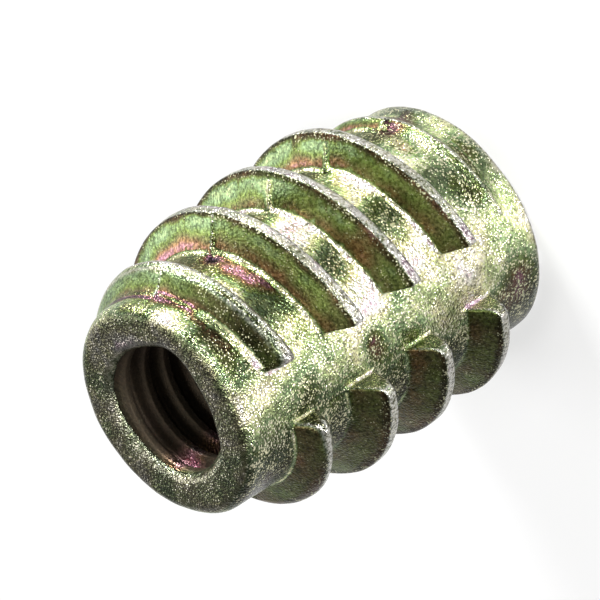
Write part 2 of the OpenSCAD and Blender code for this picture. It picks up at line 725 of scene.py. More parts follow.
@dataclass(frozen=True)
class FilmAndLightStrip:
    """The barrel's film, tone and share of bright grains at one azimuth; the tone paints highlights
    and shade.
    """

    azimuth: float
    film: float
    tone: float
    shine: float


@dataclass
class Zones:
    """Where points of the skin lie, and their share in each of its parts, from 0 to 1."""

    casting: Casting
    p: np.ndarray
    normal: np.ndarray
    bend_reach: float = 0.1
    drift: Waves = Waves(7.0, 1.4, 31)
    rusting: Waves = Waves(0.15, 0.9, 17)
    fraying: Waves = Waves(0.07, 0.5, 5)
    front_start: Rise = Rise(-100.0, -85.0)
    front_end: Rise = Rise(75.0, 55.0)
    far_start: Rise = Rise(-5.0, 5.0)
    far_end: Rise = Rise(75.0, 45.0)
    lit_start: Rise = Rise(-75.0, -40.0)
    first_z: Rise = Rise(12.0, 12.4)
    flank_height: Rise = Rise(0.03, 0.16)
    flank_up: Rise = Rise(0.2, 0.7)
    low_height: Rise = Rise(0.75, 0.1)
    face_z: Rise = Rise(14.75, 14.97)
    face_up: Rise = Rise(0.6, 0.95)
    near_up: Rise = Rise(0.15, 0.45)
    near_z: Rise = Rise(14.0, 13.7)
    # How much more the first turn's skin has to face the lead end to count as near
    first_up: float = 0.35
    edge_bend: Rise = Rise(2.0, 7.0)
    crest_height: Rise = Rise(0.9, 0.99)
    crest_wear: float = 0.8
    inner_cover: float = 0.7
    fringe_height: Rise = Rise(0.8, 0.92)
    fringe_share: float = 0.85
    corner_bend: Rise = Rise(3.6, 6.0)
    # How far the two ends of corner_bend move on the front, and at the first turn there
    front_bend: tuple[float, float] = (-0.6, -1.0)
    first_bend: tuple[float, float] = (-1.4, -1.6)
    root_height: Rise = Rise(0.3, 0.15)
    root_share: float = 0.8
    root_shade_start: Rise = Rise(-32.0, -22.0)
    seam_w: float = 0.08
    seam_z: Rise = Rise(9.5, 8.5)
    seam_height: Rise = Rise(0.9, 0.6)
    inner_r: Rise = Rise(3.4, 3.0)
    inner_z: Rise = Rise(13.5, 14.5)
    hollow_r: float = 3.9
    hollow_z: Rise = Rise(14.98, 14.48)
    hollow_inward: Rise = Rise(-0.2, 0.4)
    least_r: float = 0.1
    sunny_turn: float = 168.0
    sunny_spread: float = 14.0
    sunny_z: Rise = Rise(9.0, 11.0)

    @cached_property
    def r(self) -> np.ndarray:
        """Distance from the axis."""
        return np.hypot(self.p[:, 0], self.p[:, 1])

    @cached_property
    def z(self) -> np.ndarray:
        """Height above the drive end."""
        return self.p[:, 2]

    @cached_property
    def up(self) -> np.ndarray:
        """How far the skin faces the lead end, from -1 to 1."""
        return self.normal[:, 2]

    @cached_property
    def height(self) -> np.ndarray:
        """Height above the barrel.

        Returns:
            A height from 0 at the thread's root to 1 at its crest.
        """
        foot = self.casting.barrel.radius(self.z)
        thread = self.casting.thread
        rise = np.maximum(thread.crest(self.z) - foot, thread.least_rise)
        return np.clip((self.r - foot) / rise, 0.0, 1.0)

    @cached_property
    def turned(self) -> np.ndarray:
        """Direction from the axis in degrees, with some drift."""
        turned = np.degrees(np.arctan2(self.p[:, 1], self.p[:, 0]))
        return turned + self.drift.at(self.p)

    @cached_property
    def bend(self) -> np.ndarray:
        """How sharply the skin bends.

        Returns:
            A value above 0 on an outer edge and below 0 in a corner.
        """
        total = -6 * self.casting.distance(self.p)
        for axis in range(3):
            move = np.zeros(3)
            move[axis] = self.bend_reach
            total += self.casting.distance(self.p + move) + self.casting.distance(self.p - move)
        return total / self.bend_reach**2

    @cached_property
    def front(self) -> np.ndarray:
        """The side that the camera sees."""
        return self.front_start.smooth(self.turned) * self.front_end.smooth(self.turned)

    @cached_property
    def far(self) -> np.ndarray:
        """The front's far part."""
        return self.far_start.smooth(self.turned) * self.far_end.smooth(self.turned)

    @cached_property
    def lit(self) -> np.ndarray:
        """What lies past the front's dark part."""
        return self.lit_start.smooth(self.turned)

    @cached_property
    def first(self) -> np.ndarray:
        """The thread's first turn."""
        return self.first_z.smooth(self.z)

    @cached_property
    def flank(self) -> np.ndarray:
        """The thread's flanks."""
        return self.flank_height.smooth(self.height) * self.flank_up.smooth(np.abs(self.up))

    @cached_property
    def low(self) -> np.ndarray:
        """The lower part of the flanks, with an uneven edge."""
        return self.low_height.smooth(self.height + self.rusting.at(self.p))

    @cached_property
    def face(self) -> np.ndarray:
        """The lead face."""
        return self.face_z.smooth(self.z) * self.face_up.smooth(self.up)

    @cached_property
    def near(self) -> np.ndarray:
        """What faces the lead end, without the lead face."""
        up = self.up - self.first_up * self.first
        return self.near_up.smooth(up) * self.near_z.smooth(self.z)

    @cached_property
    def worn(self) -> np.ndarray:
        """Edges and crests that are rubbed bare.

        Returns:
            A share for each point.
        """
        crest = self.crest_wear * self.crest_height.smooth(self.height)
        kept = np.maximum(self.near, self.inner_cover * self.inner)
        return np.maximum(self.edge_bend.smooth(self.bend), crest) * (1.0 - kept)

    @cached_property
    def fringe(self) -> np.ndarray:
        """Dark rims of the flanks that face the lead end, with a frayed edge."""
        rim = self.fringe_height.smooth(self.height + self.fraying.at(self.p))
        return self.fringe_share * self.near * (1.0 - self.first) * rim

    @cached_property
    def root(self) -> np.ndarray:
        """Corners at the thread's roots, where lines of painted highlight and painted shade are
        laid, wider on the front and widest at the first turn.

        Returns:
            A share for each point.
        """
        bend = self.corner_bend.moved(*self.front_bend, self.front)
        corner = bend.moved(*self.first_bend, self.first * self.front).smooth(-self.bend)
        low = self.root_height.smooth(self.height)
        return self.root_share * corner * low * (1.0 - self.face)

    @cached_property
    def root_shade(self) -> np.ndarray:
        """The painted shade in the first turn's root corner."""
        return self.root * (self.first * self.front) * self.root_shade_start.smooth(self.turned)

    @cached_property
    def seam(self) -> np.ndarray:
        """Lines on the lower turns' flanks where the die parts, painted bright as a highlight along
        the real seam.
        """
        line = self.flank * np.exp(-((self.p[:, 1] / self.seam_w) ** 2))
        return line * self.seam_z.smooth(self.z) * self.seam_height.smooth(self.height)

    @cached_property
    def inner(self) -> np.ndarray:
        """The countersink."""
        return self.inner_r.smooth(self.r) * self.inner_z.smooth(self.z)

    @cached_property
    def hollow(self) -> np.ndarray:
        """The bore and the socket.

        Returns:
            A share for each point.
        """
        x, y = self.p[:, 0] * self.normal[:, 0], self.p[:, 1] * self.normal[:, 1]
        inward = -(x + y) / np.maximum(self.r, self.least_r)
        hidden = self.hollow_inward.smooth(inward + np.abs(self.up))
        return np.where(self.r < self.hollow_r, self.hollow_z.smooth(self.z) * hidden, 0.0)

    @cached_property
    def sunny(self) -> np.ndarray:
        """The side of the bore where a highlight is painted on the thread turns."""
        aside = np.exp(-(((self.turned - self.sunny_turn) / self.sunny_spread) ** 2))
        return self.hollow * aside * self.sunny_z.smooth(self.z)


@dataclass
class Marks:
    """Values kept on each vertex, from which the plating and its painted highlights and shade are
    mixed.
    """

    casting: Casting
    face: Layer = Layer(0.22, 0.3, 0.2)
    # Painted highlight: a bright, pale line along the thread's root corners
    root: Layer = Layer(0.08, 1.7, 0.1)
    # Painted shade: a dark line in the first turn's root corner
    root_shade: Layer = Layer(Film.VIOLET.depth, 0.08, 0.1)
    # The die's seam, drawn as a bright line that paints its highlight
    seam: Layer = Layer(Film.STRAW.depth, 2.4, 0.1)
    fringe: Layer = Layer(Film.OLIVE.depth + 0.06, 0.15, 0.35)
    # Painted shade: a low tone in the countersink
    inner: Layer = Layer(0.2, 0.35, 0.3)
    hollow: Layer = Layer(Film.RUST.depth, 1.0, 0.08)
    # Painted highlight on the thread turns on one side of the bore
    sunny: Layer = Layer(Film.ROSE.depth, 1.6, 0.1)
    worn: Layer = Layer(Film.BARE.depth + 0.03, 0.35, 0.2)
    # Painted light: worn edges are lighter by this on the lit part of the front
    worn_light: float = 0.3
    flank: Layer = Layer(Film.GREEN.depth - 0.02, 0.95, 0.1)
    # Painted light: the flanks' tone rises by this on the lit part of the front, and again on its
    # far part
    flank_light: float = 0.35
    # Painted shade: how far the flanks' film turns a darker olive in the dark part of the front
    olive_share: float = 0.8
    # How much thicker the film is on the front's far flanks, at the root and at the crest
    far_films: tuple[float, float] = (0.07, -0.09)
    # How much less film and grain change on the flanks, in the bore and on the lead face
    flank_calm: float = 0.5
    hollow_calm: float = 0.75
    face_calm: float = 0.45
    sunny_cover: float = 0.8
    # Painted highlights and shade round the barrel: a high tone stands for a lit strip and a low
    # tone for a shaded one, with film and bright grains set to match
    film_and_light_strips: tuple[FilmAndLightStrip, ...] = (
        FilmAndLightStrip(-180.0, 0.30, 0.9, 0.38),
        FilmAndLightStrip(-139.0, 0.55, 0.12, 0.26),
        FilmAndLightStrip(-112.0, 0.50, 0.30, 0.42),
        FilmAndLightStrip(-93.0, 0.30, 1.1, 0.36),
        FilmAndLightStrip(-78.0, 0.22, 1.6, 0.38),
        FilmAndLightStrip(-67.0, 0.17, 2.0, 0.40),
        FilmAndLightStrip(-57.0, 0.20, 1.85, 0.42),
        FilmAndLightStrip(-47.0, 0.36, 0.7, 0.36),
        FilmAndLightStrip(-37.0, 0.40, 0.55, 0.34),
        FilmAndLightStrip(-28.0, 0.20, 2.0, 0.40),
        FilmAndLightStrip(-21.0, 0.10, 2.1, 0.42),
        FilmAndLightStrip(-13.0, 0.25, 1.8, 0.40),
        FilmAndLightStrip(-4.0, 0.55, 0.5, 0.42),
        FilmAndLightStrip(6.0, 0.45, 0.6, 0.42),
        FilmAndLightStrip(26.0, 0.30, 1.0, 0.42),
        FilmAndLightStrip(80.0, 0.27, 1.1, 0.38),
        FilmAndLightStrip(120.0, 0.30, 1.1, 0.38),
        FilmAndLightStrip(180.0, 0.30, 0.9, 0.38),
    )
    # Film colours at listed places, with painted highlights where the tone is well above 1 and
    # painted shade where it is well below 1
    patches: tuple[FilmAndLightPatch, ...] = (
        FilmAndLightPatch(-30.0, 12.25, 0.9, 0.25, Film.BARE, 2.2, 0.3, 1.0),
        FilmAndLightPatch(-23.0, 11.2, 1.3, 0.6, Film.ROSE, 1.1, 0.05, 1.0),
        FilmAndLightPatch(-36.0, 10.95, 0.5, 0.3, Film.VIOLET, 0.25, 0.2, 1.0),
        FilmAndLightPatch(-47.0, 11.6, 0.9, 0.8, Film.TEAL, 0.2, 0.05, 1.0),
        FilmAndLightPatch(-64.0, 11.3, 0.9, 0.7, Film.LIME, 2.2, 0.5, 0.9),
        FilmAndLightPatch(-19.0, 8.0, 0.8, 0.5, Film.PEARL, 1.6, 0.15, 1.0),
        FilmAndLightPatch(-30.0, 8.3, 0.8, 0.5, Film.BARE, 1.9, 0.3, 1.0),
        FilmAndLightPatch(-46.0, 8.3, 0.8, 0.5, Film.GREEN, 0.35, 0.38, 1.0),
        FilmAndLightPatch(-12.0, 4.6, 0.8, 0.5, Film.PEARL, 1.6, 0.15, 1.0),
        FilmAndLightPatch(-24.0, 5.0, 0.8, 0.5, Film.BARE, 1.9, 0.3, 1.0),
        FilmAndLightPatch(-40.0, 5.0, 0.8, 0.45, Film.GREEN, 0.35, 0.42, 0.9),
        FilmAndLightPatch(-5.0, 14.05, 2.2, 0.15, Film.VIOLET, 0.4, 0.2, 0.9),
        FilmAndLightPatch(-17.0, 14.6, 1.0, 0.3, Film.BARE, 1.9, 0.5),
        FilmAndLightPatch(-50.0, 14.2, 1.0, 0.4, Film.OLIVE, 0.25, 0.45, 0.8),
        FilmAndLightPatch(-54.0, 13.35, 2.1, 0.75, Film.OLIVE, 0.1, 0.26, 1.0, flank=True),
        FilmAndLightPatch(-3.0, 11.15, 0.35, 0.25, Film.VIOLET, 0.12, 0.05, 1.0),
        FilmAndLightPatch(-4.0, 1.5, 0.8, 0.7, Film.VIOLET, 0.25, 0.42),
        FilmAndLightPatch(-19.0, 2.2, 0.7, 0.4, Film.ROSE, 2.0, 0.7),
        FilmAndLightPatch(-31.0, 1.4, 0.6, 0.5, Film.LIME, 1.4, 0.55),
        FilmAndLightPatch(-41.0, 0.8, 0.7, 0.7, Film.OLIVE, 0.8, 0.45),
        FilmAndLightPatch(-58.0, 1.7, 1.0, 0.9, Film.OLIVE, 0.12, 0.44, 1.0),
        FilmAndLightPatch(-74.0, 0.6, 1.2, 1.0, Film.BARE, 2.6, 0.35, 1.0),
        FilmAndLightPatch(-106.0, 1.2, 1.2, 1.0, Film.VIOLET, 0.15, 0.42, 0.6),
        FilmAndLightPatch(-90.0, 8.4, 0.7, 0.45, Film.VIOLET, 0.12, 0.46, 0.9),
        FilmAndLightPatch(-112.0, 9.9, 1.0, 0.8, Film.OLIVE, 0.2, 0.5),
        FilmAndLightPatch(-95.0, 11.8, 0.9, 0.7, Film.OLIVE, 0.25, 0.5),
        FilmAndLightPatch(-77.0, 10.2, 0.8, 0.8, Film.LIME, 1.6, 0.5),
        FilmAndLightPatch(-76.0, 6.6, 0.8, 0.8, Film.LIME, 1.4, 0.45),
        FilmAndLightPatch(-80.0, 3.4, 1.4, 1.5, Film.PEARL, 1.2, 0.5, 0.5),
        FilmAndLightPatch(-74.0, 14.7, 0.8, 0.5, Film.PEARL, 0.45, 0.35, 0.9),
        FilmAndLightPatch(14.0, 14.3, 1.5, 0.5, Film.STRAW, 1.8, 0.2, 0.8, flank=True),
        FilmAndLightPatch(-60.0, 14.3, 1.1, 0.45, Film.OLIVE, 0.45, 0.35, 0.8),
        FilmAndLightPatch(-80.0, 13.7, 0.6, 0.6, Film.BARE, 2.0, 0.5),
    )

    def barrel_layer(self, turned: np.ndarray) -> Layer:
        """The plating along the barrel, with its painted highlights and shade, which changes evenly
        from strip to strip.
        """
        at, *values = zip(*(astuple(strip) for strip in self.film_and_light_strips))
        return Layer(*(np.interp(turned, at, value) for value in values))

    def flank_layer(self, zones: Zones) -> Layer:
        """Works out the flanks' plating: rusty when low, olive as painted shade in the dark part of
        the front, and lighter as painted light on its lit and far parts.

        Args:
            zones: The skin's parts.

        Returns:
            The plating at each point, as if all of them were on a flank.
        """
        film = self.flank.film
        film = film + (Film.RUST.depth - Film.GREEN.depth) * zones.low
        film = film + (Film.OLIVE.depth - film) * self.olive_share * (1.0 - zones.lit)
        low_film, high_film = self.far_films
        film = film + zones.far * (low_film * zones.low**2 + high_film * (1.0 - zones.low))
        tone = self.flank.tone + self.flank_light * zones.lit + self.flank_light * zones.far
        return Layer(film, tone, self.flank.shine)

    def plating(self, zones: Zones) -> Layer:
        """Lays all the layers, one over the other.

        Args:
            zones: The skin's parts.

        Returns:
            The plating, with its painted highlights and shade, that shows at each point.
        """
        layer = self.barrel_layer(zones.turned)
        layer = layer.covered(zones.flank, self.flank_layer(zones))
        layer = layer.covered(zones.face, self.face)
        for patch in self.patches:
            kept = np.maximum(zones.face, 0.0 if patch.flank else zones.flank)
            layer = layer.covered(patch.share(zones.p) * (1.0 - kept), patch.layer)
        # Bare wear, with painted light on the lit part
        worn_tone = self.worn.tone + self.worn_light * zones.lit
        for share, by in (
            (zones.root, self.root),
            (zones.root_shade, self.root_shade),
            (zones.seam, self.seam),
            (zones.worn, Layer(self.worn.film, worn_tone, self.worn.shine)),
            (zones.fringe, self.fringe),
            (zones.inner, self.inner),
            (zones.hollow, self.hollow),
            (zones.sunny, self.sunny),
        ):
            layer = layer.covered(share, by)
        return layer

    def measure(self, p: np.ndarray, normal: np.ndarray) -> dict[str, np.ndarray]:
        """Works out all the marks.

        Args:
            p: Points of the skin, in millimetres.
            normal: Outward directions there.

        Returns:
            Named values, one for each point: the film's thickness, its tone, the share of
            bright grains, bare edges, how much the film changes, how rough the grain stands
            and the shade of the bore.
        """
        zones = Zones(self.casting, p, normal)
        layer = self.plating(zones)
        hollow = zones.hollow - self.sunny_cover * zones.sunny
        grain = 1.0 - np.maximum(self.flank_calm * zones.flank, self.hollow_calm * hollow)
        return {
            "film": layer.film,
            "tone": layer.tone,
            "shine": layer.shine,
            "edge": zones.worn * (1.0 - hollow),
            "grain": grain,
            "relief": grain - self.face_calm * zones.face,
            "hollow": hollow,
        }


class Sheet:
    """Adds shader nodes to one tree with short calls."""

    def __init__(self, tree: bpy.types.NodeTree) -> None:
        """Keeps the tree."""
        self.tree = tree

    def put(
        self, kind: str, inputs: dict[str | int, object] | None = None, **settings: object
    ) -> bpy.types.Node:
        """Adds a node.

        Args:
            kind: The node's type, without its leading "ShaderNode".
            inputs: Sockets by name or number, each with a value or a socket to link.
            settings: Attributes of the node.

        Returns:
            The new node.
        """
        node = self.tree.nodes.new(f"ShaderNode{kind}")
        for name, value in settings.items():
            setattr(node, name, value)
        for name, value in (inputs or {}).items():
            if isinstance(value, bpy.types.NodeSocket):
                self.tree.links.new(value, node.inputs[name])
            else:
                node.inputs[name].default_value = value
        return node

    def place(self, group: bpy.types.NodeTree, inputs: dict[str, object]) -> bpy.types.Node:
        """Adds a node group and sets its inputs."""
        return self.put("Group", inputs, node_tree=group)

    def maths(self, operation: str, *values: object) -> bpy.types.NodeSocket:
        """Adds a Math node and returns its result."""
        return self.put("Math", dict(enumerate(values)), operation=operation).outputs[0]

    def swing(self, value: object) -> bpy.types.NodeSocket:
        """Returns how far a value from 0 to 1 is above or below its middle."""
        return self.maths("SUBTRACT", value, 0.5)

    def graded(self, value: object, *ends: float) -> bpy.types.NodeSocket:
        """Maps a value from one range to another, or to 0 and 1, and returns the result."""
        return self.put("MapRange", dict(enumerate((value, *ends)))).outputs[0]

    def noise(
        self, place: object, scale: object, detail: float, roughness: float
    ) -> bpy.types.NodeSocket:
        """Adds a Noise Texture node and returns its value."""
        inputs = {"Vector": place, "Scale": scale, "Detail": detail, "Roughness": roughness}
        return self.put("TexNoise", inputs).outputs["Fac"]

    def blend(self, share: object, low: object, high: object) -> bpy.types.NodeSocket:
        """Mixes two colours and returns the result."""
        return self.put("Mix", {0: share, 6: low, 7: high}, data_type="RGBA").outputs[2]

    def scale(self, colour: object, amount: object) -> bpy.types.NodeSocket:
        """Makes a colour lighter or darker and returns the result."""
        return self.put("VectorMath", {0: colour, "Scale": amount}, operation="SCALE").outputs[0]

    def mark(self, name: str) -> bpy.types.NodeSocket:
        """Reads one of the marks kept on the vertices."""
        return self.put("Attribute", attribute_name=name).outputs["Fac"]


def new_group(
    name: str, inputs: dict[str, float | None], outputs: dict[str, str]
) -> tuple[bpy.types.NodeTree, Sheet, bpy.types.Node, bpy.types.Node]:
    """Starts a shader node group.

    Args:
        name: Name of the group.
        inputs: Names of its inputs, each with a number, or None for a vector.
        outputs: Names of its outputs, each with "Float", "Color" or "Vector".

    Returns:
        The group, a sheet to draw it on, and its input and output nodes.
    """
    group = bpy.data.node_groups.new(name, "ShaderNodeTree")
    for label, value in inputs.items():
        kind = "NodeSocketVector" if value is None else "NodeSocketFloat"
        socket = group.interface.new_socket(label, in_out="INPUT", socket_type=kind)
        if value is not None:
            socket.default_value = value
    for label, kind in outputs.items():
        group.interface.new_socket(label, in_out="OUTPUT", socket_type=f"NodeSocket{kind}")
    start, end = group.nodes.new("NodeGroupInput"), group.nodes.new("NodeGroupOutput")
    return group, Sheet(group), start, end


@dataclass(frozen=True)
class Grain:
    """Skin of a casting: close round grains, some of them painted bright as glints, on coarser
    lumps.
    """

    fine: float = 10.5
    coarse: float = 1.6
    # Detail and roughness of the coarse noise; scale, detail and roughness of the torn one
    coarse_noise: tuple[float, float] = (4.0, 0.6)
    torn_noise: tuple[float, float, float] = (12.0, 2.0, 0.6)
    torn: float = 0.5
    # How much a grain's chance adds to its size and brightness, and the least of each
    size: tuple[float, float] = (0.5, 0.7)
    brightness: tuple[float, float] = (0.6, 0.4)
    spot_edge: tuple[float, float] = (-0.02, 0.06)
    lumps: float = 0.7
    share: float = 0.3

    def build(self) -> bpy.types.NodeTree:
        """Makes the node group.

        Returns:
            A group with the inputs Place, Fine, Coarse and Share, and the outputs Height,
            Cloud and Bright.
        """
        group, sheet, start, end = new_group(
            "cast_grain",
            {"Place": None, "Fine": self.fine, "Coarse": self.coarse, "Share": self.share},
            {"Height": "Float", "Cloud": "Float", "Bright": "Float"},
        )
        place = start.outputs["Place"]
        coarse = sheet.noise(place, start.outputs["Coarse"], *self.coarse_noise)
        ragged = sheet.noise(place, *self.torn_noise)
        torn = sheet.maths("MULTIPLY", sheet.swing(ragged), self.torn)
        grains = sheet.put("TexVoronoi", {"Vector": place, "Scale": start.outputs["Fine"]})
        away = sheet.maths("ADD", torn, grains.outputs["Distance"])
        chance = sheet.put("SeparateXYZ", {0: grains.outputs["Color"]}).outputs["X"]
        share = sheet.maths("ADD", start.outputs["Share"], sheet.swing(coarse))
        grown = sheet.maths("MULTIPLY_ADD", chance, *self.size)
        size = sheet.maths("MULTIPLY", sheet.maths("MAXIMUM", share, 0.0), grown)
        spot = sheet.graded(sheet.maths("SUBTRACT", size, away), *self.spot_edge)
        strength = sheet.maths("MULTIPLY_ADD", chance, *self.brightness)
        bright = sheet.maths("MULTIPLY", spot, strength)
        domes = sheet.maths("SUBTRACT", 1.0, away)
        height = sheet.maths("MULTIPLY_ADD", coarse, self.lumps, domes)
        group.links.new(height, end.inputs["Height"])
        group.links.new(coarse, end.inputs["Cloud"])
        group.links.new(bright, end.inputs["Bright"])
        return group


def film_group() -> bpy.types.NodeTree:
    """Colour of zinc under a thin film that bends light.

    Returns:
        A group with the input Depth and the output Color.
    """
    group, sheet, start, end = new_group(
        "film_colour", {"Depth": Film.BARE.depth}, {"Color": "Color"}
    )
    node = sheet.put("ValToRGB", {0: start.outputs["Depth"]})
    elements = node.color_ramp.elements
    while len(elements) < len(Film):
        elements.new(0.5)
    for element, tint in zip(elements, Film):
        element.position = tint.depth
        element.color = (*tint.colour, 1.0)
    group.links.new(node.outputs["Color"], end.inputs["Color"])
    return group


@dataclass(frozen=True)
class PlatingWithPaintedLight:
    """Iridescent chromate on cast zinc: film colours, bright grains painted as glints and bare
    edges, with painted shade in the bore and the socket.
    """

    slot: str = "plated_zinc"
    grain: Grain = Grain()
    grain_depth: float = 0.00004
    # Each noise has its scale, in waves to a millimetre, its detail and its roughness
    patches: tuple[float, float, float] = (0.6, 1.0, 0.5)
    mottle: tuple[float, float, float] = (2.2, 3.0, 0.6)
    flecks: tuple[float, float, float] = (8.0, 3.0, 0.65)
    patch_change: float = 0.7
    mottle_change: float = 0.35
    fleck_range: tuple[float, float] = (0.36, 0.6)
    fleck_tones: tuple[float, float] = (0.4, 1.25)
    rubbed_range: tuple[float, float] = (0.4, 0.56)
    uneven: float = 1.5
    darkest: float = 0.15
    tint: float = 0.5
    thinning: float = 0.4
    thin_tone: float = 1.4
    # Painted shade in the bore and the socket: how much of the hollow mark it covers
    hollow_shade_cover: float = 0.88
    rough_range: tuple[float, float] = (0.3, 0.7)
    roughness: tuple[float, float] = (0.2, 0.3)
    flank_roughness: float = 0.2
    hollow_roughness: float = 0.3
    # Colour of the bright grains, which are painted glints
    bright: Colour = (0.80, 0.76, 0.56, 1.0)
    bare: Colour = (0.62, 0.61, 0.57, 1.0)
    # Colour of the painted shade in the bore and the socket
    hollow_shade: Colour = (0.07, 0.06, 0.045, 1.0)

    def depth(self, sheet: Sheet, place: bpy.types.NodeSocket) -> bpy.types.NodeSocket:
        """Changes the film's thickness from place to place, broadly and in small spots.

        Args:
            sheet: Where the nodes are drawn.
            place: The point on the piece, in millimetres.

        Returns:
            The thickness.
        """
        depth = sheet.mark("film")
        for noise, amount in (
            (self.patches, self.patch_change),
            (self.mottle, self.mottle_change),
        ):
            wave = sheet.swing(sheet.noise(place, *noise))
            change = sheet.maths("MULTIPLY", wave, sheet.mark("grain"))
            depth = sheet.maths("MULTIPLY_ADD", change, amount, depth)
        return depth

    def colour(
        self, sheet: Sheet, place: bpy.types.NodeSocket, grain: bpy.types.Node
    ) -> bpy.types.NodeSocket:
        """Mixes the colour: film under flecks, bare edges, bright grains painted as glints, then
        painted shade in the bore and the socket.

        Args:
            sheet: Where the nodes are drawn.
            place: The point on the piece, in millimetres.
            grain: The grain's node.

        Returns:
            The colour.
        """
        films = film_group()
        depth = self.depth(sheet, place)
        film = sheet.place(films, {"Depth": depth}).outputs["Color"]
        lumps = sheet.maths("MULTIPLY", sheet.swing(grain.outputs["Cloud"]), sheet.mark("grain"))
        patchy = sheet.maths("MULTIPLY_ADD", lumps, self.uneven, 1.0)
        patchy = sheet.maths("MAXIMUM", patchy, self.darkest)
        flecks = sheet.noise(place, *self.flecks)
        streaks = sheet.graded(flecks, *self.fleck_range, *self.fleck_tones)
        tone = sheet.maths("MULTIPLY", sheet.maths("MULTIPLY", sheet.mark("tone"), patchy), streaks)
        rubbed = sheet.graded(flecks, *self.rubbed_range)
        worn = sheet.maths("MULTIPLY", sheet.mark("edge"), rubbed)
        colour = sheet.blend(worn, sheet.scale(film, tone), self.bare)
        thinned = sheet.maths("MULTIPLY", depth, self.thinning)
        thin = sheet.place(films, {"Depth": thinned}).outputs["Color"]
        glint = sheet.blend(self.tint, self.bright, sheet.scale(thin, self.thin_tone))
        colour = sheet.blend(grain.outputs["Bright"], colour, glint)
        # Painted shade in the bore and the socket
        dark = sheet.maths("MULTIPLY", sheet.mark("hollow"), self.hollow_shade_cover)
        return sheet.blend(dark, colour, self.hollow_shade)

    def rough(self, sheet: Sheet, cloud: bpy.types.NodeSocket) -> bpy.types.NodeSocket:
        """Works out the roughness, which follows the lumps; flanks and hollows are duller.

        Args:
            sheet: Where the nodes are drawn.
            cloud: How far the lumps stand out.

        Returns:
            The roughness.
        """
        rough = sheet.graded(cloud, *self.rough_range, *self.roughness)
        calm = sheet.maths("SUBTRACT", 1.0, sheet.mark("grain"))
        rough = sheet.maths("MULTIPLY_ADD", calm, self.flank_roughness, rough)
        return sheet.maths("MULTIPLY_ADD", sheet.mark("hollow"), self.hollow_roughness, rough)

    def build(self) -> bpy.types.Material:
        """Makes the material.

        Returns:
            A material that reads the marks on the vertices.
        """
        material = bpy.data.materials.new("plated_zinc")
        material.use_nodes = True
        sheet = Sheet(material.node_tree)
        shader = material.node_tree.nodes["Principled BSDF"]
        here = sheet.put("TexCoord").outputs["Object"]
        place = sheet.put("Mapping", {"Vector": here, "Scale": (1 / MM,) * 3}).outputs[0]
        inputs = {
            "Place": place,
            "Fine": self.grain.fine,
            "Coarse": self.grain.coarse,
            "Share": sheet.mark("shine"),
        }
        grain = sheet.place(self.grain.build(), inputs)
        height = sheet.maths("MULTIPLY", grain.outputs["Height"], sheet.mark("relief"))
        bump = sheet.put("Bump", {"Height": height, "Distance": self.grain_depth, "Strength": 1.0})
        links = material.node_tree.links
        links.new(self.colour(sheet, place, grain), shader.inputs["Base Color"])
        links.new(self.rough(sheet, grain.outputs["Cloud"]), shader.inputs["Roughness"])
        links.new(bump.outputs[0], shader.inputs["Normal"])
        shader.inputs["Metallic"].default_value = 1.0
        return material


@dataclass
class Insert:
    """The one piece: a mesh drawn over the casting's field, with its plating and the light and
    shade painted on it.
    """

    casting: Casting = field(default_factory=Casting)
    finish_and_painted_light: PlatingWithPaintedLight = field(default_factory=PlatingWithPaintedLight)
    # Grid: its step, and how far it runs from the axis and past both ends
    step: float = 0.075
    reach: float = 6.1
    margin: float = 0.3
    # Times that the vertices are moved onto the skin
    passes: int = 3
    least_slope: float = 0.2
    # Half of the distance over which the field's slope is taken
    probe: float = 0.01
    normal_probe: float = 0.02
    triangles: int = 190000

    def skin(self) -> tuple[np.ndarray, np.ndarray]:
        """Draws the mesh and moves its vertices onto the skin.

        Returns:
            Vertices in millimetres and four-sided faces.
        """
        side = steps(-self.reach, self.reach, self.step)
        top = self.casting.barrel.length + self.margin
        net = SurfaceNet((side, side, steps(-self.margin, top, self.step)))
        vertices, faces = net.build(self.casting.skin)
        for _ in range(self.passes):
            away = self.casting.skin(vertices)
            slope = slope_of(self.casting.skin, vertices, self.probe)
            steep = np.maximum((slope * slope).sum(1), self.least_slope)
            move = np.clip(away / steep, -self.step, self.step)
            vertices = vertices - slope * move[:, None]
        return vertices, faces

    def build(self) -> bpy.types.Object:
        """Makes the piece, thins its mesh and dresses it.

        Returns:
            The finished piece.
        """
        vertices, faces = self.skin()
        mesh = bpy.data.meshes.new("insert_casting")
        mesh.from_pydata((vertices * MM).tolist(), [], faces.tolist())
        piece = bpy.data.objects.new("insert_casting", mesh)
        bpy.context.scene.collection.objects.link(piece)
        thin = piece.modifiers.new("thin", "DECIMATE")
        thin.ratio = self.triangles / (2 * len(faces))
        bpy.context.view_layer.objects.active = piece
        bpy.ops.object.modifier_apply(modifier="thin")
        self.dress(piece)
        log.info("%s: %d faces", piece.name, len(piece.data.polygons))
        return piece

    def dress(self, piece: bpy.types.Object) -> None:
        """Sets the normals, the marks and the material of the piece.

        Args:
            piece: The piece, with its final mesh.
        """
        mesh = piece.data
        flat = np.empty(len(mesh.vertices) * 3)
        mesh.vertices.foreach_get("co", flat)
        points = flat.reshape(-1, 3) / MM
        normals = slope_of(self.casting.skin, points, self.normal_probe)
        normals /= np.linalg.norm(normals, axis=1)[:, None]
        mesh.shade_smooth()
        mesh.normals_split_custom_set_from_vertices(normals.tolist())
        for name, values in Marks(self.casting).measure(points, normals).items():
            mark = mesh.attributes.new(name, "FLOAT", "POINT")
            mark.data.foreach_set("value", values.astype(np.float32))
        mesh.materials.append(self.finish_and_painted_light.build())
        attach(piece, "root")
        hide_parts("insert")


